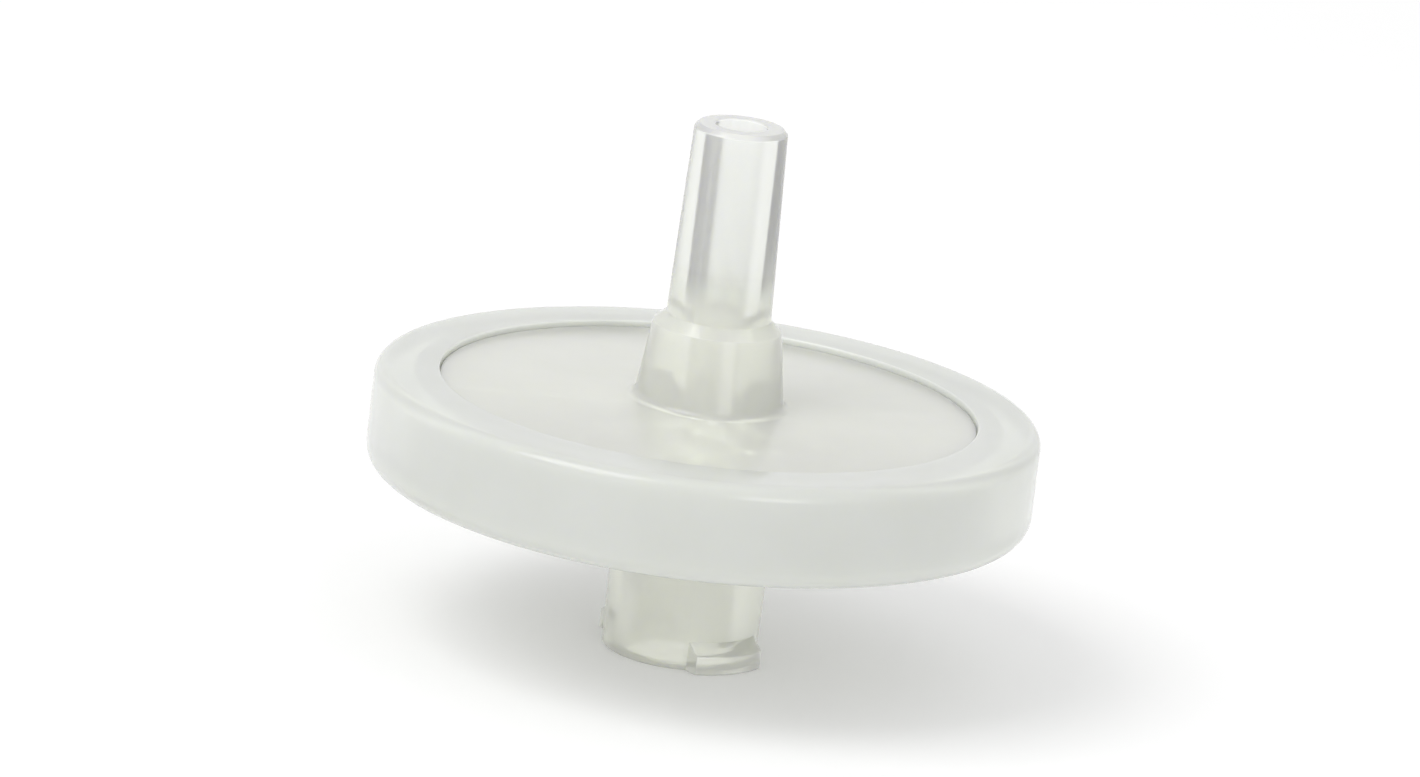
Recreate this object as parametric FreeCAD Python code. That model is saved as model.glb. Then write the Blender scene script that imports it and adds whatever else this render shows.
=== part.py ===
import FreeCAD, Part
import math
import os

# Syringe filter for a 25 mm membrane disc: a male Luer slip outlet on top, a female
# Luer lock inlet below, and a membrane pinched between two moulded shells whose edges
# are held together by a ring moulded round them.
#
# Frame: millimetres, +Z from the inlet to the outlet, origin at the centre of the
# inlet's mouth face. Everything is round about Z except the two inlet lugs and the
# rib patterns.

V = FreeCAD.Vector
AXIS = V(0, 0, 1)

# ---------------------------------------------------------------- driving sizes

# Membrane and how it is held
membrane_diameter = 25.0
membrane_thickness = 0.12
membrane_edge_clearance = 0.1   # membrane edge to the ring
clamp_width = 0.9               # band where the shells pinch the membrane
flange_thickness = 1.24         # edge of each shell, inside the ring

# Sealing ring, a C section over both flanges
ring_wall = 1.65
ring_lip_width = 1.1            # how far each lip reaches in over the flange
ring_lip_thickness = 0.9
ring_top_round = 0.6
ring_bottom_bevel = 0.6
plate_recess = 0.25             # both plates lie this far inside the ring's faces

# Luer cones, 6 % taper on diameter
luer_taper = 0.06
outlet_tip_diameter = 3.98
outlet_cone_length = 8.3
outlet_bore_diameter = 2.2
outlet_tip_bevel = 0.2
inlet_mouth_diameter = 4.3
inlet_mouth_bevel = 0.15
inlet_throat_diameter = 2.4
inlet_throat_length = 0.65      # from the end of the cone to the chamber

# Outlet hub, the collar that carries the cone
outlet_length = 11.8            # top of the sealing ring to the outlet tip
hub_top_diameter = 5.5
hub_base_diameter = 6.4
hub_shoulder_height = 0.45      # bevel between the cone and the collar
hub_root_fillet = 0.4

# Inlet hub and its two lock lugs
inlet_length = 6.9              # inlet mouth to the underside of the sealing ring
inlet_hub_diameter = 6.6
inlet_hub_draft = 1.2           # degrees, wider towards the body
inlet_hub_foot_bevel = 0.5
lug_span = 7.83                 # across both lugs
lug_width = 3.4
lug_thickness = 1.3             # along the axis, at the hub
lug_crest = 0.8                 # along the axis, at the outside of the lug
lug_angle = 128.0               # degrees from +X to the middle of the first lug
lug_count = 2

# Membrane support in the outlet shell: long ribs, and short ones between them
collector_depth = 0.35
support_rib_width = 0.5
support_rib_start = 2.0         # radius where the long ribs begin
support_short_start = 6.2       # radius where the short ribs begin
support_long_count = 12
support_short_per_gap = 2

# Spreader chamber in the inlet shell
chamber_depth = 0.35
spreader_rib_count = 12
spreader_rib_width = 0.5
spreader_rib_gap = 0.1          # rib tops to the membrane
spreader_rib_start = 3.0
spreader_end_gap = 0.6          # rib ends to the chamber wall

# ---------------------------------------------------------------- worked-out places

membrane_radius = membrane_diameter / 2
chamber_radius = membrane_radius - clamp_width
flange_radius = membrane_radius + membrane_edge_clearance
ring_radius = flange_radius + ring_wall
lip_radius = flange_radius - ring_lip_width

z_ring_bottom = inlet_length
z_inlet_plate = z_ring_bottom + plate_recess
z_inlet_flange = z_ring_bottom + ring_lip_thickness
z_membrane = z_inlet_flange + flange_thickness
z_membrane_top = z_membrane + membrane_thickness
z_outlet_flange = z_membrane_top + flange_thickness
z_ring_top = z_outlet_flange + ring_lip_thickness
z_outlet_plate = z_ring_top - plate_recess
z_tip = z_ring_top + outlet_length
z_cone_base = z_tip - outlet_cone_length
z_hub_corner = z_cone_base - hub_shoulder_height
z_collector = z_membrane_top + collector_depth
z_chamber = z_membrane - chamber_depth
z_cone_end = z_chamber - inlet_throat_length

outlet_tip_radius = outlet_tip_diameter / 2
outlet_cone_base_radius = outlet_tip_radius + luer_taper * outlet_cone_length / 2
outlet_bore_radius = outlet_bore_diameter / 2
hub_top_radius = hub_top_diameter / 2
hub_base_radius = hub_base_diameter / 2
inlet_mouth_radius = inlet_mouth_diameter / 2
inlet_cone_end_radius = inlet_mouth_radius - luer_taper * z_cone_end / 2
inlet_throat_radius = inlet_throat_diameter / 2
inlet_hub_radius = inlet_hub_diameter / 2
inlet_hub_root_radius = inlet_hub_radius + z_inlet_plate * math.tan(math.radians(inlet_hub_draft))


# ---------------------------------------------------------------- shared helpers

def profile_point(corner):
    """The point in the XZ plane of a (radius, height, ...) corner."""
    return V(corner[0], 0, corner[1])


def rounded_corner(before, corner, after):
    """Start, middle and end of the arc that rounds a corner, or the bare corner."""
    here = profile_point(corner)
    round_radius = corner[2] if len(corner) > 2 else 0
    if round_radius <= 0:
        return [here]
    to_before = profile_point(before) - here
    to_after = profile_point(after) - here
    shorter = min(to_before.Length, to_after.Length)
    to_before.normalize()
    to_after.normalize()
    half_angle = to_before.getAngle(to_after) / 2
    reach = min(round_radius / math.tan(half_angle), 0.48 * shorter)
    radius = reach * math.tan(half_angle)
    inward = to_before + to_after
    inward.normalize()
    centre = here + inward * (radius / math.sin(half_angle))
    return [here + to_before * reach, centre - inward * radius, here + to_after * reach]


def turned(corners):
    """Solid of revolution about Z of a closed outline of (radius, height[, round])."""
    count = len(corners)
    runs = []
    for i, corner in enumerate(corners):
        runs.append(rounded_corner(corners[i - 1], corner, corners[(i + 1) % count]))
    edges = []
    for i, run in enumerate(runs):
        if len(run) == 3:
            edges.append(Part.Arc(run[0], run[1], run[2]).toShape())
        edges.append(Part.LineSegment(run[-1], runs[(i + 1) % count][0]).toShape())
    face = Part.Face(Part.Wire(edges))
    return face.revolve(V(0, 0, 0), AXIS, 360)


def radial_bar(inner, outer, width, z_low, z_high, angle):
    """A bar that runs outwards from the axis, turned to an angle in degrees."""
    bar = Part.makeBox(outer - inner, width, z_high - z_low, V(inner, -width / 2, z_low))
    bar.rotate(V(0, 0, 0), AXIS, angle)
    return bar


# ---------------------------------------------------------------- outlet shell

def support_ribs():
    """Radial ribs that carry the membrane, closer set towards the rim."""
    per_gap = support_short_per_gap + 1
    total = support_long_count * per_gap
    outer = (chamber_radius + flange_radius) / 2
    z_high = (z_collector + z_outlet_flange) / 2
    ribs = []
    for i in range(total):
        inner = support_rib_start if i % per_gap == 0 else support_short_start
        ribs.append(radial_bar(inner, outer, support_rib_width, z_membrane_top, z_high,
                               lug_angle + 360 * i / total))
    return ribs


def outlet_shell():
    """Plate, hub and male Luer slip in one moulding, with the membrane support."""
    body = turned([
        (outlet_bore_radius, z_tip),
        (outlet_tip_radius - outlet_tip_bevel, z_tip),
        (outlet_tip_radius, z_tip - outlet_tip_bevel),
        (outlet_cone_base_radius, z_cone_base),
        (hub_top_radius, z_hub_corner),
        (hub_base_radius, z_outlet_plate, hub_root_fillet),
        (lip_radius, z_outlet_plate),
        (lip_radius, z_outlet_flange),
        (flange_radius, z_outlet_flange),
        (flange_radius, z_membrane_top),
        (chamber_radius, z_membrane_top),
        (chamber_radius, z_collector),
        (outlet_bore_radius, z_collector),
    ])
    return body.multiFuse(support_ribs()).removeSplitter()


# ---------------------------------------------------------------- inlet shell

def lock_lug(angle):
    """One Luer lock lug at the mouth, its upper face sloping down to the crest."""
    inner = (inlet_mouth_radius + inlet_hub_radius) / 2
    outer = lug_span / 2
    sector = turned([
        (inner, 0),
        (outer, 0),
        (outer, lug_crest),
        (inlet_hub_radius, lug_thickness),
        (inner, lug_thickness),
    ])
    block = Part.makeBox(outer, lug_width, lug_thickness, V(0, -lug_width / 2, 0))
    lug = sector.common(block)
    lug.rotate(V(0, 0, 0), AXIS, angle)
    return lug


def spreader_ribs():
    """Radial ribs on the chamber floor, clear of the membrane."""
    outer = chamber_radius - spreader_end_gap
    z_low = (z_inlet_plate + z_chamber) / 2
    z_high = z_membrane - spreader_rib_gap
    return [
        radial_bar(spreader_rib_start, outer, spreader_rib_width, z_low, z_high,
                   lug_angle + 360 * i / spreader_rib_count)
        for i in range(spreader_rib_count)
    ]


def inlet_shell():
    """Plate and female Luer lock in one moulding, with the spreader chamber."""
    body = turned([
        (inlet_mouth_radius + inlet_mouth_bevel, 0),
        (inlet_hub_radius, 0),
        (inlet_hub_root_radius, z_inlet_plate - inlet_hub_foot_bevel),
        (inlet_hub_root_radius + inlet_hub_foot_bevel, z_inlet_plate),
        (lip_radius, z_inlet_plate),
        (lip_radius, z_inlet_flange),
        (flange_radius, z_inlet_flange),
        (flange_radius, z_membrane),
        (chamber_radius, z_membrane),
        (chamber_radius, z_chamber),
        (inlet_throat_radius, z_chamber),
        (inlet_throat_radius, z_cone_end),
        (inlet_cone_end_radius, z_cone_end),
        (inlet_mouth_radius - luer_taper * inlet_mouth_bevel / 2, inlet_mouth_bevel),
    ])
    lugs = [lock_lug(lug_angle + 360 * i / lug_count) for i in range(lug_count)]
    return body.multiFuse(lugs + spreader_ribs()).removeSplitter()


# ---------------------------------------------------------------- membrane and ring

def membrane():
    """The nylon disc, its edge pinched between the shells."""
    return Part.makeCylinder(membrane_radius, membrane_thickness, V(0, 0, z_membrane))


def sealing_ring():
    """C section moulded round both flanges, with a lip over each."""
    return turned([
        (lip_radius, z_ring_top),
        (ring_radius, z_ring_top, ring_top_round),
        (ring_radius, z_ring_bottom + ring_bottom_bevel),
        (ring_radius - ring_bottom_bevel, z_ring_bottom),
        (lip_radius, z_ring_bottom),
        (lip_radius, z_inlet_flange),
        (flange_radius, z_inlet_flange),
        (flange_radius, z_outlet_flange),
        (lip_radius, z_outlet_flange),
    ])


# ---------------------------------------------------------------- write the parts

os.makedirs("parts", exist_ok=True)

nodes = {
    "outlet_shell": outlet_shell(),
    "inlet_shell": inlet_shell(),
    "membrane": membrane(),
    "sealing_ring": sealing_ring(),
}

for name, shape in nodes.items():
    if not shape.isValid():
        raise ValueError(name + " is not a valid solid")
    if len(shape.Solids) != 1:
        raise ValueError(name + " should be one solid, has " + str(len(shape.Solids)))
    solid = shape.Solids[0]
    solid.exportStep("parts/" + name + ".step")
    box = solid.BoundBox
    print(name, "volume", round(solid.Volume, 2), "z", round(box.ZMin, 3), round(box.ZMax, 3),
          "across", round(box.XLength, 3), round(box.YLength, 3), "faces", len(solid.Faces))
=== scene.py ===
import math

import bmesh
import bpy
from mathutils import Matrix, Vector


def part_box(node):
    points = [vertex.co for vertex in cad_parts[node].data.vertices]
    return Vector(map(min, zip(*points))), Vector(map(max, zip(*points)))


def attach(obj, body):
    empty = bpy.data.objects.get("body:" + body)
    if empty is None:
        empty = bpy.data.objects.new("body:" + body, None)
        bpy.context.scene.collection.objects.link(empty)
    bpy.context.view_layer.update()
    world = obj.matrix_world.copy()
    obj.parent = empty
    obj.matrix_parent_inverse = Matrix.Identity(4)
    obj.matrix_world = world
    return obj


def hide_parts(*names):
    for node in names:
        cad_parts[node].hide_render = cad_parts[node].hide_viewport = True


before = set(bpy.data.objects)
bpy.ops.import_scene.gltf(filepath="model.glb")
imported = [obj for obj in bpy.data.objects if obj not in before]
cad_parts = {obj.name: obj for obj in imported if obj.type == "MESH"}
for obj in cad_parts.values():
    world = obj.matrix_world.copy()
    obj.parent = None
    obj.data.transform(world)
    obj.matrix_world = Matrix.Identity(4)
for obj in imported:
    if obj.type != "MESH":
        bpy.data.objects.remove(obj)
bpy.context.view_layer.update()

# A syringe filter in natural polypropylene: outlet shell with a male Luer slip, inlet
# shell with a female Luer lock, a nylon membrane between them and a sealing ring round
# the edge. It has no moving parts, so every piece rides on the one body.

MM = 0.001                      # every size below is in millimetres unless it says otherwise
BODY = "root"


def node_top(node):
    """How high the CAD node's highest point is."""
    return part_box(node)[1].z / MM


def node_foot(node):
    """How high the CAD node's lowest point is."""
    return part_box(node)[0].z / MM


def node_radius(node):
    """How far the CAD node reaches from the axis."""
    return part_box(node)[1].x / MM


# ---------------------------------------------------------------- sizes

RING_RADIUS = node_radius("sealing_ring")
RING_FOOT = node_foot("sealing_ring")
RING_TOP = node_top("sealing_ring")
FLANGE_RADIUS = node_radius("outlet_shell")
MEMBRANE_RADIUS = node_radius("membrane")
MEMBRANE_FOOT = node_foot("membrane")
MEMBRANE_TOP = node_top("membrane")
TIP = node_top("outlet_shell")
MOUTH = node_foot("inlet_shell")

SEAM = 0.02                     # a hair between pieces that touch, so that faces never coincide
LIP_WIDTH = 1.1
LIP_THICKNESS = 0.9
PLATE_RECESS = 0.25
CLAMP_WIDTH = 0.9
LUER_TAPER = 0.06               # on the diameter

RING_TOP_ROUND = 0.6
RING_FOOT_ROUND = 0.9
EDGE_ROUND = 0.08               # what a mould leaves on an edge that looks sharp

CONE_LENGTH = 8.3
TIP_RADIUS = 1.99
TIP_BEVEL = 0.2
OUTLET_BORE_RADIUS = 1.1
HUB_TOP_RADIUS = 2.75
HUB_BASE_RADIUS = 3.2
HUB_SHOULDER = 0.45
HUB_FILLET = 0.4

MOUTH_RADIUS = 2.15
MOUTH_BEVEL = 0.15
THROAT_RADIUS = 1.2
THROAT_LENGTH = 0.65
INLET_HUB_RADIUS = 3.3
INLET_HUB_DRAFT = 1.2           # degrees
INLET_HUB_FILLET = 0.5
LUG_REACH = 3.915
LUG_WIDTH = 3.4
LUG_THICKNESS = 1.3
LUG_CREST = 0.8
LUG_ANGLE = 128.0               # degrees from +X
LUG_COUNT = 2

COLLECTOR_DEPTH = 0.35
CHAMBER_DEPTH = 0.35
RIB_WIDTH = 0.5
SUPPORT_LONG_COUNT = 12
SUPPORT_SHORT_PER_GAP = 2
SUPPORT_LONG_START = 2.0
SUPPORT_SHORT_START = 6.2
SPREADER_COUNT = 12
SPREADER_START = 3.0
SPREADER_END_GAP = 0.6
SPREADER_GAP = 0.1

CHAMBER_RADIUS = MEMBRANE_RADIUS - CLAMP_WIDTH
LIP_RADIUS = FLANGE_RADIUS - LIP_WIDTH
OUTLET_PLATE = RING_TOP - PLATE_RECESS
OUTLET_FLANGE = RING_TOP - LIP_THICKNESS
INLET_PLATE = RING_FOOT + PLATE_RECESS
INLET_FLANGE = RING_FOOT + LIP_THICKNESS
COLLECTOR = MEMBRANE_TOP + COLLECTOR_DEPTH
CHAMBER = MEMBRANE_FOOT - CHAMBER_DEPTH
CONE_BASE = TIP - CONE_LENGTH
HUB_CORNER = CONE_BASE - HUB_SHOULDER
CONE_END = CHAMBER - THROAT_LENGTH

SEGMENTS = 192                  # round each turned piece
ARC_STEPS = 6                   # along each rounded corner
ROUND_LIMIT = 0.48              # share of its shorter side that a rounded corner may use up
MERGE = 0.001                   # points closer than this are one
BLOCK_MARGIN = 1.0              # how far the block that cuts a lug's sides reaches below it
SHARP = math.radians(28)        # creases sharper than this stay crisp


# ---------------------------------------------------------------- helpers

def placed(name, data):
    """A new object in the scene that holds the data."""
    thing = bpy.data.objects.new(name, data)
    bpy.context.scene.collection.objects.link(thing)
    return thing


def cleaned(mesh):
    """The same mesh with points that coincide made one."""
    clean = bmesh.new()
    clean.from_mesh(mesh)
    bmesh.ops.remove_doubles(clean, verts=clean.verts, dist=MERGE * MM)
    clean.to_mesh(mesh)
    clean.free()
    return mesh


def rounded(outline):
    """The (radius, height) points of an outline of (radius, height[, round]) corners."""
    points = []
    count = len(outline)
    for i, corner in enumerate(outline):
        here = Vector(corner[:2])
        size = corner[2] if len(corner) > 2 else 0
        before = Vector(outline[i - 1][:2]) - here
        after = Vector(outline[(i + 1) % count][:2]) - here
        if size <= 0:
            points.append(here)
            continue
        half = before.angle(after) / 2
        reach = min(size / math.tan(half), ROUND_LIMIT * min(before.length, after.length))
        before.normalize()
        after.normalize()
        radius = reach * math.tan(half)
        centre = here + (before + after).normalized() * radius / math.sin(half)
        start = here + before * reach - centre
        turn = (here + after * reach - centre).angle_signed(start)
        for step in range(ARC_STEPS + 1):
            angle = turn * step / ARC_STEPS
            points.append(centre + Vector((
                start.x * math.cos(angle) - start.y * math.sin(angle),
                start.x * math.sin(angle) + start.y * math.cos(angle),
            )))
    return points


def turned(name, outline):
    """A closed mesh object turned about Z from an outline given anticlockwise in (r, z)."""
    points = rounded(outline)
    count = len(points)
    vertices = []
    for i in range(SEGMENTS):
        angle = 2 * math.pi * i / SEGMENTS
        for point in points:
            vertices.append((point.x * math.cos(angle) * MM,
                             point.x * math.sin(angle) * MM,
                             point.y * MM))
    faces = []
    for i in range(SEGMENTS):
        near = i * count
        far = (i + 1) % SEGMENTS * count
        for j in range(count):
            k = (j + 1) % count
            if points[j].x + points[k].x > 0:
                faces.append((near + j, far + j, far + k, near + k))
    mesh = bpy.data.meshes.new(name)
    mesh.from_pydata(vertices, [], faces)
    return placed(name, cleaned(mesh))


def with_modifier_applied(piece, modifier):
    """The same piece as a plain mesh, with its one modifier's result in it."""
    depsgraph = bpy.context.evaluated_depsgraph_get()
    plain = bpy.data.meshes.new_from_object(piece.evaluated_get(depsgraph))
    piece.modifiers.remove(modifier)
    piece.data = cleaned(plain)
    return piece


def combined(piece, operation, other):
    """The piece after a boolean with the other object, which is used up."""
    cut = piece.modifiers.new("combined", "BOOLEAN")
    cut.operation = operation
    cut.solver = "EXACT"
    cut.object = other
    with_modifier_applied(piece, cut)
    bpy.data.objects.remove(other)
    return piece


def finished(piece, material, node):
    """Smooth shading with crisp creases, the material, the body and the CAD node it replaces."""
    mesh = piece.data
    mesh.materials.clear()
    mesh.materials.append(material)
    mesh.shade_smooth()
    mesh.set_sharp_from_angle(angle=SHARP)
    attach(piece, BODY)
    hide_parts(node)
    return piece


def empty_tree(owner):
    """The node tree of a material or a world, with nothing in it yet."""
    owner.use_nodes = True
    owner.node_tree.nodes.clear()
    return owner.node_tree


def add(tree, kind, settings=None, links=None):
    """A node of that kind. Settings are its properties, or values of its inputs by name or
    number; links join its inputs, by name or number, to other nodes' outputs."""
    node = tree.nodes.new(kind)
    for key, value in (settings or {}).items():
        if isinstance(key, str) and hasattr(node, key):
            setattr(node, key, value)
        else:
            node.inputs[key].default_value = value
    for key, output in (links or {}).items():
        tree.links.new(output, node.inputs[key])
    return node


# ---------------------------------------------------------------- ribs by geometry nodes

def rib_tree():
    """Joins radial bars, evenly spaced round the axis, to a body."""
    tree = bpy.data.node_groups.new("radial_ribs", "GeometryNodeTree")
    sockets = tree.interface
    sockets.new_socket("Geometry", in_out="INPUT", socket_type="NodeSocketGeometry")
    for name in ("Start", "End", "Width", "Foot", "Top", "First angle"):
        sockets.new_socket(name, in_out="INPUT", socket_type="NodeSocketFloat")
    sockets.new_socket("Count", in_out="INPUT", socket_type="NodeSocketInt")
    sockets.new_socket("Material", in_out="INPUT", socket_type="NodeSocketMaterial")
    sockets.new_socket("Geometry", in_out="OUTPUT", socket_type="NodeSocketGeometry")

    given = add(tree, "NodeGroupInput").outputs
    minus = {"operation": "SUBTRACT"}
    halfway = {"operation": "MULTIPLY_ADD", 1: 0.5}
    length = add(tree, "ShaderNodeMath", minus, {0: given["End"], 1: given["Start"]}).outputs[0]
    height = add(tree, "ShaderNodeMath", minus, {0: given["Top"], 1: given["Foot"]}).outputs[0]
    middle = add(tree, "ShaderNodeMath", halfway, {0: length, 2: given["Start"]}).outputs[0]
    level = add(tree, "ShaderNodeMath", halfway, {0: height, 2: given["Foot"]}).outputs[0]
    size = add(tree, "ShaderNodeCombineXYZ", links={"X": length, "Y": given["Width"], "Z": height})
    place = add(tree, "ShaderNodeCombineXYZ", links={"X": middle, "Z": level})
    bar = add(tree, "GeometryNodeMeshCube", links={"Size": size.outputs[0]})
    bar = add(tree, "GeometryNodeTransform",
              links={"Geometry": bar.outputs[0], "Translation": place.outputs[0]})

    spots = add(tree, "GeometryNodePoints", links={"Count": given["Count"]})
    number = add(tree, "GeometryNodeInputIndex")
    turn = add(tree, "ShaderNodeMath", {"operation": "DIVIDE"},
               {0: number.outputs[0], 1: given["Count"]})
    angle = add(tree, "ShaderNodeMath", {"operation": "MULTIPLY_ADD", 1: 2 * math.pi},
                {0: turn.outputs[0], 2: given["First angle"]})
    spin = add(tree, "ShaderNodeCombineXYZ", links={"Z": angle.outputs[0]})
    bars = add(tree, "GeometryNodeInstanceOnPoints", links={
        "Points": spots.outputs[0], "Instance": bar.outputs[0], "Rotation": spin.outputs[0]})
    real = add(tree, "GeometryNodeRealizeInstances", links={"Geometry": bars.outputs[0]})
    joined = add(tree, "GeometryNodeMeshBoolean", {"operation": "UNION", "solver": "EXACT"},
                 {"Mesh 2": given["Geometry"]})
    tree.links.new(real.outputs[0], joined.inputs["Mesh 2"])
    coat = add(tree, "GeometryNodeSetMaterial",
               links={"Geometry": joined.outputs[0], "Material": given["Material"]})
    add(tree, "NodeGroupOutput", links={"Geometry": coat.outputs[0]})
    return tree


RIBS = rib_tree()


def with_ribs(piece, material, start, end, foot, top, count, first_angle):
    """The same piece with radial bars joined on."""
    ribs = piece.modifiers.new("ribs", "NODES")
    ribs.node_group = RIBS
    values = {
        "Start": start * MM, "End": end * MM, "Width": RIB_WIDTH * MM,
        "Foot": foot * MM, "Top": top * MM,
        "First angle": math.radians(first_angle), "Count": count, "Material": material,
    }
    for item in RIBS.interface.items_tree:
        if item.in_out == "INPUT" and item.name in values:
            ribs[item.identifier] = values[item.name]
    return with_modifier_applied(piece, ribs)


# ---------------------------------------------------------------- materials

SHELL_COLOURS = ("#eeefe7", "#f2f3ee")          # the resin, and where it is cloudier
RING_COLOURS = ("#dbddd8", "#e0e2df")
THIN_COLOUR = "#f6f7f6"                         # the resin in a thin wall
THIN_WALL = CONE_BASE + 2.5                     # above here the outlet cone's wall counts as thin
SHELL_CLEARNESS = 0.36                          # share of the light that passes straight through
CONE_CLEARNESS = 0.68
RING_CLEARNESS = 0.2
RESIN_IOR = 1.49
RESIN_DEPTH = (0.972, 0.977, 0.957, 1.0)        # what a millimetre of resin lets through
HAZE_DEPTH = 0.6                                # how far light wanders in the resin
HAZE_REACH = (1.0, 1.0, 0.85)                   # the same for each colour, as shares
FLOW_MARK = 3.0                                 # width of the cloudy flow marks
RIPPLE_WIDTH = 1.2                              # of the mould's finish
RIPPLE_HEIGHT = 0.02
RIPPLE_STRENGTH = 0.06
GLOSS = (0.12, 0.2)                             # roughness, least and most

NYLON_COLOURS = ("#efefec", "#f9f9f7")
NYLON_ROUGHNESS = 0.85
PORE_GRAIN = 0.2
PORE_HEIGHT = 0.01
PORE_STRENGTH = 0.3


def linear(code):
    """An sRGB hex colour as linear RGBA."""
    values = [int(code[i:i + 2], 16) / 255 for i in (1, 3, 5)]
    colour = [v / 12.92 if v <= 0.04045 else ((v + 0.055) / 1.055) ** 2.4 for v in values]
    return (*colour, 1.0)


def new_material(name):
    """A material with only its shader and output: the material, its tree and both nodes."""
    material = bpy.data.materials.new(name)
    tree = empty_tree(material)
    shader = add(tree, "ShaderNodeBsdfPrincipled")
    output = add(tree, "ShaderNodeOutputMaterial", links={"Surface": shader.outputs[0]})
    return material, tree, shader, output


def moulded_polypropylene(name, clearness, thin_clearness, tint, haze):
    """Natural polypropylene, injection moulded: a milky, faintly yellow-green translucent
    plastic with a soft gloss, slightly uneven where the melt flowed and cooled."""
    material, tree, shader, output = new_material(name)
    coordinates = add(tree, "ShaderNodeTexCoord").outputs
    where = coordinates["Object"]
    height = add(tree, "ShaderNodeSeparateXYZ", links={0: where}).outputs["Z"]
    thin = add(tree, "ShaderNodeMapRange", {
        "interpolation_type": "SMOOTHSTEP",
        "From Min": CONE_BASE * MM, "From Max": THIN_WALL * MM}, {0: height})
    # Flow marks: cloudy differences, from how the melt filled the mould
    flow = add(tree, "ShaderNodeTexNoise", {"Scale": 1 / (FLOW_MARK * MM), "Detail": 2.0},
               {"Vector": where}).outputs[0]
    colour = add(tree, "ShaderNodeMix", {"data_type": "RGBA", 6: linear(tint), 7: linear(haze)},
                 {0: flow})
    # A thin wall shows less of the resin's own colour
    colour = add(tree, "ShaderNodeMix", {"data_type": "RGBA", 7: linear(THIN_COLOUR)},
                 {0: thin.outputs[0], 6: colour.outputs[2]})
    tree.links.new(colour.outputs[2], shader.inputs["Base Color"])
    # Mould finish: a faint ripple that softens the reflections
    ripple = add(tree, "ShaderNodeTexNoise", {"Scale": 1 / (RIPPLE_WIDTH * MM), "Detail": 3.0},
                 {"Vector": where}).outputs[0]
    bump = add(tree, "ShaderNodeBump",
               {"Strength": RIPPLE_STRENGTH, "Distance": RIPPLE_HEIGHT * MM}, {"Height": ripple})
    tree.links.new(bump.outputs[0], shader.inputs["Normal"])
    least, most = GLOSS
    gloss = add(tree, "ShaderNodeMapRange", {"To Min": least, "To Max": most}, {"Value": flow})
    tree.links.new(gloss.outputs[0], shader.inputs["Roughness"])
    # A thin wall holds less haze, so the outlet cone is the clearest, but not where an end face
    # looks down the length of its wall. The haze is met once in each wall, on the way in, and
    # its far side only bends the light
    facing = add(tree, "ShaderNodeSeparateXYZ", links={0: coordinates["Normal"]}).outputs["Z"]
    upright = add(tree, "ShaderNodeMath", {"operation": "ABSOLUTE"}, {0: facing})
    upright = add(tree, "ShaderNodeMath", {"operation": "SUBTRACT", 0: 1.0},
                  {1: upright.outputs[0]})
    thin = add(tree, "ShaderNodeMath", {"operation": "MINIMUM"},
               {0: thin.outputs[0], 1: upright.outputs[0]})
    clear = add(tree, "ShaderNodeMapRange", {"To Min": clearness, "To Max": thin_clearness},
                {0: thin.outputs[0]})
    far_side = add(tree, "ShaderNodeNewGeometry").outputs["Backfacing"]
    clear = add(tree, "ShaderNodeMath", {"operation": "MAXIMUM"},
                {0: clear.outputs[0], 1: far_side})
    tree.links.new(clear.outputs[0], shader.inputs["Transmission Weight"])
    shader.inputs["IOR"].default_value = RESIN_IOR
    shader.inputs["Subsurface Weight"].default_value = 1.0
    shader.inputs["Subsurface Radius"].default_value = HAZE_REACH
    shader.inputs["Subsurface Scale"].default_value = HAZE_DEPTH * MM
    # The natural resin takes a little light, most of it blue, on the way through a thick wall
    depth = add(tree, "ShaderNodeVolumeAbsorption", {"Color": RESIN_DEPTH, "Density": 1 / MM})
    tree.links.new(depth.outputs[0], output.inputs["Volume"])
    return material


def cast_nylon():
    """Nylon membrane, cast from solution: matt white with a fine open grain."""
    material, tree, shader, _ = new_material("nylon_membrane_cast")
    where = add(tree, "ShaderNodeTexCoord").outputs["Object"]
    # The pores are under a micron, so their grain is drawn as fine as still shows
    grain = add(tree, "ShaderNodeTexNoise", {"Scale": 1 / (PORE_GRAIN * MM), "Detail": 2.0},
                {"Vector": where}).outputs[0]
    dark, light = NYLON_COLOURS
    colour = add(tree, "ShaderNodeMix", {"data_type": "RGBA", 6: linear(dark), 7: linear(light)},
                 {0: grain})
    tree.links.new(colour.outputs[2], shader.inputs["Base Color"])
    bump = add(tree, "ShaderNodeBump",
               {"Strength": PORE_STRENGTH, "Distance": PORE_HEIGHT * MM}, {"Height": grain})
    tree.links.new(bump.outputs[0], shader.inputs["Normal"])
    shader.inputs["Roughness"].default_value = NYLON_ROUGHNESS
    return material


SHELL_PLASTIC = moulded_polypropylene(
    "polypropylene_natural_moulded", SHELL_CLEARNESS, CONE_CLEARNESS, *SHELL_COLOURS)
RING_PLASTIC = moulded_polypropylene(
    "polypropylene_natural_overmoulded", RING_CLEARNESS, RING_CLEARNESS, *RING_COLOURS)
NYLON = cast_nylon()


# ---------------------------------------------------------------- the four pieces

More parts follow.
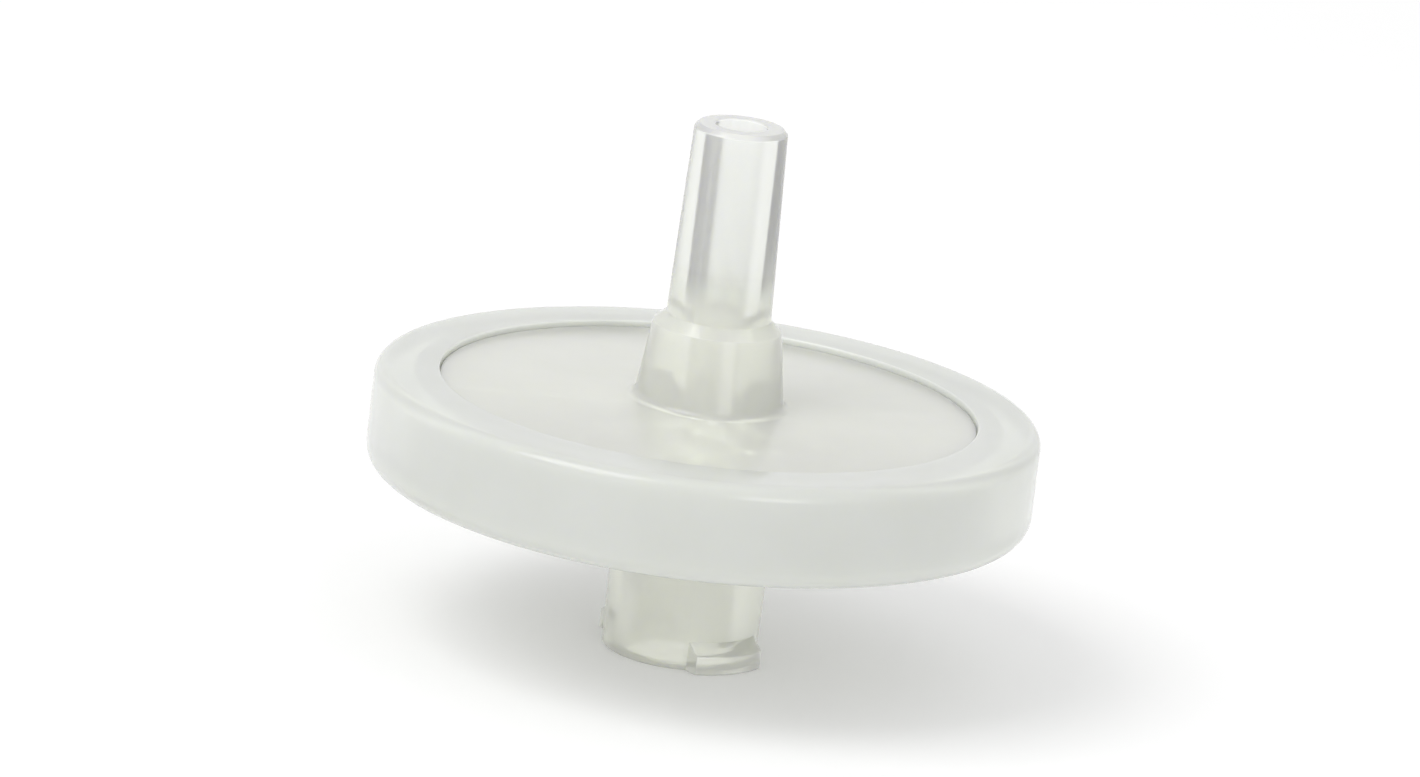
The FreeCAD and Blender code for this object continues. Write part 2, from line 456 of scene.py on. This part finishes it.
def make_outlet_shell():
    """Plate, hub and male Luer slip, with the ribs that carry the membrane underneath."""
    base = TIP_RADIUS + LUER_TAPER * CONE_LENGTH / 2
    shell = turned("outlet_shell_moulding", [
        (OUTLET_BORE_RADIUS, COLLECTOR, EDGE_ROUND),
        (CHAMBER_RADIUS, COLLECTOR),
        (CHAMBER_RADIUS, MEMBRANE_TOP + SEAM),
        (FLANGE_RADIUS - SEAM, MEMBRANE_TOP + SEAM),
        (FLANGE_RADIUS - SEAM, OUTLET_FLANGE - SEAM),
        (LIP_RADIUS - SEAM, OUTLET_FLANGE - SEAM),
        (LIP_RADIUS - SEAM, OUTLET_PLATE, EDGE_ROUND),
        (HUB_BASE_RADIUS, OUTLET_PLATE, HUB_FILLET),
        (HUB_TOP_RADIUS, HUB_CORNER, EDGE_ROUND),
        (base, CONE_BASE, EDGE_ROUND),
        (TIP_RADIUS, TIP - TIP_BEVEL, EDGE_ROUND),
        (TIP_RADIUS - TIP_BEVEL, TIP, EDGE_ROUND),
        (OUTLET_BORE_RADIUS, TIP, EDGE_ROUND),
    ])
    per_gap = SUPPORT_SHORT_PER_GAP + 1
    step = 360 / (SUPPORT_LONG_COUNT * per_gap)
    end = (CHAMBER_RADIUS + FLANGE_RADIUS) / 2
    top = (COLLECTOR + OUTLET_FLANGE) / 2
    foot = MEMBRANE_TOP + SEAM
    for i in range(per_gap):
        start = SUPPORT_LONG_START if i == 0 else SUPPORT_SHORT_START
        with_ribs(shell, SHELL_PLASTIC, start, end, foot, top, SUPPORT_LONG_COUNT,
                  LUG_ANGLE + step * i)
    return finished(shell, SHELL_PLASTIC, "outlet_shell")


def make_lug(angle):
    """One lock lug as a closed mesh, its upper face sloping down to the crest."""
    inner = (MOUTH_RADIUS + INLET_HUB_RADIUS) / 2
    outline = [
        (inner, 0), (LUG_REACH, 0, EDGE_ROUND), (LUG_REACH, LUG_CREST, EDGE_ROUND),
        (INLET_HUB_RADIUS, LUG_THICKNESS), (inner, LUG_THICKNESS),
    ]
    half = LUG_WIDTH / 2
    corners = [(x * MM, y * MM, z * MM)
               for x in (inner / 2, 2 * LUG_REACH)
               for y in (-half, half)
               for z in (-BLOCK_MARGIN, 2 * LUG_THICKNESS)]
    sides = [(0, 1, 3, 2), (4, 6, 7, 5), (0, 4, 5, 1), (2, 3, 7, 6), (0, 2, 6, 4), (1, 5, 7, 3)]
    block = bpy.data.meshes.new("lug_block")
    block.from_pydata(corners, [], sides)
    block.transform(Matrix.Rotation(math.radians(angle), 4, "Z"))
    return combined(turned("lug_sector", outline), "INTERSECT", placed("lug_block", block))


def make_inlet_shell():
    """Plate and female Luer lock, with the ribs that spread the flow under the membrane."""
    root = INLET_HUB_RADIUS + INLET_PLATE * math.tan(math.radians(INLET_HUB_DRAFT))
    shell = turned("inlet_shell_moulding", [
        (MOUTH_RADIUS + MOUTH_BEVEL, MOUTH, EDGE_ROUND),
        (INLET_HUB_RADIUS, MOUTH, EDGE_ROUND),
        (root, INLET_PLATE, INLET_HUB_FILLET),
        (LIP_RADIUS - SEAM, INLET_PLATE, EDGE_ROUND),
        (LIP_RADIUS - SEAM, INLET_FLANGE + SEAM),
        (FLANGE_RADIUS - SEAM, INLET_FLANGE + SEAM),
        (FLANGE_RADIUS - SEAM, MEMBRANE_FOOT - SEAM),
        (CHAMBER_RADIUS, MEMBRANE_FOOT - SEAM),
        (CHAMBER_RADIUS, CHAMBER),
        (THROAT_RADIUS, CHAMBER, EDGE_ROUND),
        (THROAT_RADIUS, CONE_END),
        (MOUTH_RADIUS - LUER_TAPER * CONE_END / 2, CONE_END),
        (MOUTH_RADIUS - LUER_TAPER * MOUTH_BEVEL / 2, MOUTH_BEVEL, EDGE_ROUND),
    ])
    for i in range(LUG_COUNT):
        combined(shell, "UNION", make_lug(LUG_ANGLE + 360 * i / LUG_COUNT))
    with_ribs(shell, SHELL_PLASTIC, SPREADER_START, CHAMBER_RADIUS - SPREADER_END_GAP,
              (INLET_PLATE + CHAMBER) / 2, MEMBRANE_FOOT - SPREADER_GAP, SPREADER_COUNT, LUG_ANGLE)
    return finished(shell, SHELL_PLASTIC, "inlet_shell")


def make_membrane():
    """The nylon disc, its edge held between the shells."""
    disc = turned("membrane_disc", [
        (0.0, MEMBRANE_FOOT), (MEMBRANE_RADIUS, MEMBRANE_FOOT),
        (MEMBRANE_RADIUS, MEMBRANE_TOP), (0.0, MEMBRANE_TOP),
    ])
    return finished(disc, NYLON, "membrane")


def make_sealing_ring():
    """The C section moulded round both shells' edges."""
    ring = turned("sealing_ring_overmould", [
        (LIP_RADIUS, RING_FOOT, EDGE_ROUND),
        (RING_RADIUS, RING_FOOT, RING_FOOT_ROUND),
        (RING_RADIUS, RING_TOP, RING_TOP_ROUND),
        (LIP_RADIUS, RING_TOP, EDGE_ROUND),
        (LIP_RADIUS, OUTLET_FLANGE),
        (FLANGE_RADIUS, OUTLET_FLANGE),
        (FLANGE_RADIUS, INLET_FLANGE),
        (LIP_RADIUS, INLET_FLANGE),
    ])
    return finished(ring, RING_PLASTIC, "sealing_ring")


make_outlet_shell()
make_inlet_shell()
make_membrane()
make_sealing_ring()


# ---------------------------------------------------------------- floor, light and camera

FLOOR_COLOUR = "#f2f2f2"
FLOOR_REACH = 2.0               # metres from the middle to each edge
FLOOR_GAP = 0.01                # from the floor to the mouth, so that they never coincide
FLOOR_LIFT = 0.12               # how much whiter the floor looks than it is lit, near the object
FAR_FLOOR_LIFT = 0.3            # the same far off, where the lamps no longer reach
NEAR_FLOOR = 0.35               # metres from the middle to where the second begins to take over
FAR_FLOOR = 0.75                # metres to where it has
FLOOR_GLOW = 0.13               # how much light the floor sends up, as a light table does
MOUTH_GLOW = 0.45               # how much more right under the mouth, where no lamp reaches
SKY_COLOUR = "#ffffff"
STUDIO_LIGHT = 0.8              # how strongly the surroundings light the object

CARD_DISTANCE = 0.045           # metres
CARD_LIGHT = 0.05               # how light the dark cards are
BENT_WALLS = 2                  # walls that light crosses when it bends round the bore
CARDS = [                       # name, degrees from straight behind to each fold, straight light
    ("back_card", (17, 46, 75), CARD_LIGHT),
    ("side_card", (75, 98, 120), 1.0),
]

MIDDLE = Vector((0, 0, TIP / 2 * MM))       # what the lamps and the camera face
LAMPS = [                       # name, place and size in metres, power in watts
    ("key_left", (-0.3, -0.2, 0.5), 0.35, 1.25),
    ("fill_right", (0.22, -0.45, 0.12), 0.2, 0.32),
]

CAMERA_ELEVATION = 14.8         # degrees above the horizon
CAMERA_ROLL = 6.9               # degrees, which leans the filter to the right
CAMERA_DISTANCE = 0.36          # metres
CAMERA_LENS = 215.0             # focal length
CAMERA_RANGE = (0.01, 20.0)     # metres


def seen_directly(tree):
    """1 for what the camera sees, straight, in gloss or through clear plastic, else 0."""
    path = add(tree, "ShaderNodeLightPath").outputs
    either = add(tree, "ShaderNodeMath", {"operation": "MAXIMUM"},
                 {0: path["Is Camera Ray"], 1: path["Is Glossy Ray"]})
    return add(tree, "ShaderNodeMath", {"operation": "MAXIMUM"},
               {0: either.outputs[0], 1: path["Is Transmission Ray"]}).outputs[0]


def make_floor():
    """A pale floor that fades into the white background and keeps the object's shadow."""
    mesh = bpy.data.meshes.new("floor")
    far = FLOOR_REACH
    corners = [(-far, -far, 0), (far, -far, 0), (far, far, 0), (-far, far, 0)]
    mesh.from_pydata(corners, [], [(0, 1, 2, 3)])
    floor = placed("floor", mesh)
    floor.location.z = (MOUTH - FLOOR_GAP) * MM
    material = bpy.data.materials.new("pale_floor")
    tree = empty_tree(material)
    paper = add(tree, "ShaderNodeBsdfDiffuse", {"Color": linear(FLOOR_COLOUR)})
    where = add(tree, "ShaderNodeTexCoord").outputs["Object"]
    reach = add(tree, "ShaderNodeVectorMath", {"operation": "LENGTH"}, {0: where}).outputs["Value"]
    white = add(tree, "ShaderNodeMapRange", {
        "From Min": NEAR_FLOOR, "From Max": FAR_FLOOR,
        "To Min": FLOOR_LIFT, "To Max": FAR_FLOOR_LIFT}, {"Value": reach})
    lift = add(tree, "ShaderNodeMapRange", {"To Min": FLOOR_GLOW},
               {"Value": seen_directly(tree), "To Max": white.outputs[0]})
    covered = (INLET_HUB_RADIUS - 2 * EDGE_ROUND) * MM
    under = add(tree, "ShaderNodeMath", {"operation": "LESS_THAN", 1: covered}, {0: reach})
    lift = add(tree, "ShaderNodeMath", {"operation": "MULTIPLY_ADD", 1: MOUTH_GLOW},
               {0: under.outputs[0], 2: lift.outputs[0]})
    glow = add(tree, "ShaderNodeEmission", links={"Strength": lift.outputs[0]})
    both = add(tree, "ShaderNodeAddShader", links={0: paper.outputs[0], 1: glow.outputs[0]})
    # From below the floor is open, so that the underside can be looked at too
    below = add(tree, "ShaderNodeNewGeometry").outputs["Backfacing"]
    nothing = add(tree, "ShaderNodeBsdfTransparent")
    either = add(tree, "ShaderNodeMixShader",
                 links={0: below, 1: both.outputs[0], 2: nothing.outputs[0]})
    add(tree, "ShaderNodeOutputMaterial", links={"Surface": either.outputs[0]})
    mesh.materials.append(material)


def make_world():
    """Even white surroundings, brighter to the camera, to gloss and through the plastic."""
    world = bpy.data.worlds.new("studio")
    bpy.context.scene.world = world
    tree = empty_tree(world)
    strength = add(tree, "ShaderNodeMapRange", {"To Min": STUDIO_LIGHT, "To Max": 1.0},
                   {"Value": seen_directly(tree)})
    sky = add(tree, "ShaderNodeBackground", {"Color": linear(SKY_COLOUR)},
              {"Strength": strength.outputs[0]})
    add(tree, "ShaderNodeOutputWorld", links={"Surface": sky.outputs[0]})


def make_dark_card(name, azimuths, straight_light):
    """A dark card folded round the left of the object. It shows only through clear plastic,
    where it draws a darker line along one side of the outlet's bore. The straight light is
    how light it is where it shows straight through the bore, across more walls."""
    corners = []
    for azimuth in azimuths:
        x = -CARD_DISTANCE * math.sin(math.radians(azimuth))
        y = CARD_DISTANCE * math.cos(math.radians(azimuth))
        corners += [(x, y, 0), (x, y, TIP * MM)]
    folds = range(0, len(corners) - 2, 2)
    mesh = bpy.data.meshes.new(name)
    mesh.from_pydata(corners, [], [(i, i + 2, i + 3, i + 1) for i in folds])
    card = placed(name, mesh)
    card.visible_camera = card.visible_diffuse = card.visible_glossy = card.visible_shadow = False
    material = bpy.data.materials.new(name)
    tree = empty_tree(material)
    walls = add(tree, "ShaderNodeLightPath").outputs["Transmission Depth"]
    light = add(tree, "ShaderNodeMapRange", {
        "From Min": BENT_WALLS, "From Max": BENT_WALLS + 1,
        "To Min": CARD_LIGHT, "To Max": straight_light}, {"Value": walls})
    grey = add(tree, "ShaderNodeEmission", links={"Strength": light.outputs[0]})
    add(tree, "ShaderNodeOutputMaterial", links={"Surface": grey.outputs[0]})
    mesh.materials.append(material)


def make_lamp(name, place, size, power):
    """A soft square lamp that faces the middle of the object."""
    lamp = bpy.data.lights.new(name, "AREA")
    lamp.shape = "SQUARE"
    lamp.size = size
    lamp.energy = power
    holder = placed(name, lamp)
    holder.location = Vector(place)
    aim = MIDDLE - Vector(place)
    holder.rotation_euler = aim.to_track_quat("-Z", "Y").to_euler()


def make_camera():
    """A camera with a long lens that looks at the object from the front, a little above it."""
    camera = placed("camera", bpy.data.cameras.new("camera"))
    elevation = math.radians(CAMERA_ELEVATION)
    back = Vector((0, -math.cos(elevation), math.sin(elevation)))
    camera.location = MIDDLE + back * CAMERA_DISTANCE
    roll = Matrix.Rotation(math.radians(CAMERA_ROLL), 3, "Z")
    turn = (-back).to_track_quat("-Z", "Y").to_matrix() @ roll
    camera.rotation_euler = turn.to_euler()
    camera.data.lens = CAMERA_LENS
    camera.data.clip_start, camera.data.clip_end = CAMERA_RANGE
    bpy.context.scene.camera = camera


make_floor()
make_world()
for card in CARDS:
    make_dark_card(*card)
for lamp in LAMPS:
    make_lamp(*lamp)
make_camera()

scene = bpy.context.scene
scene.view_settings.view_transform = "Standard"
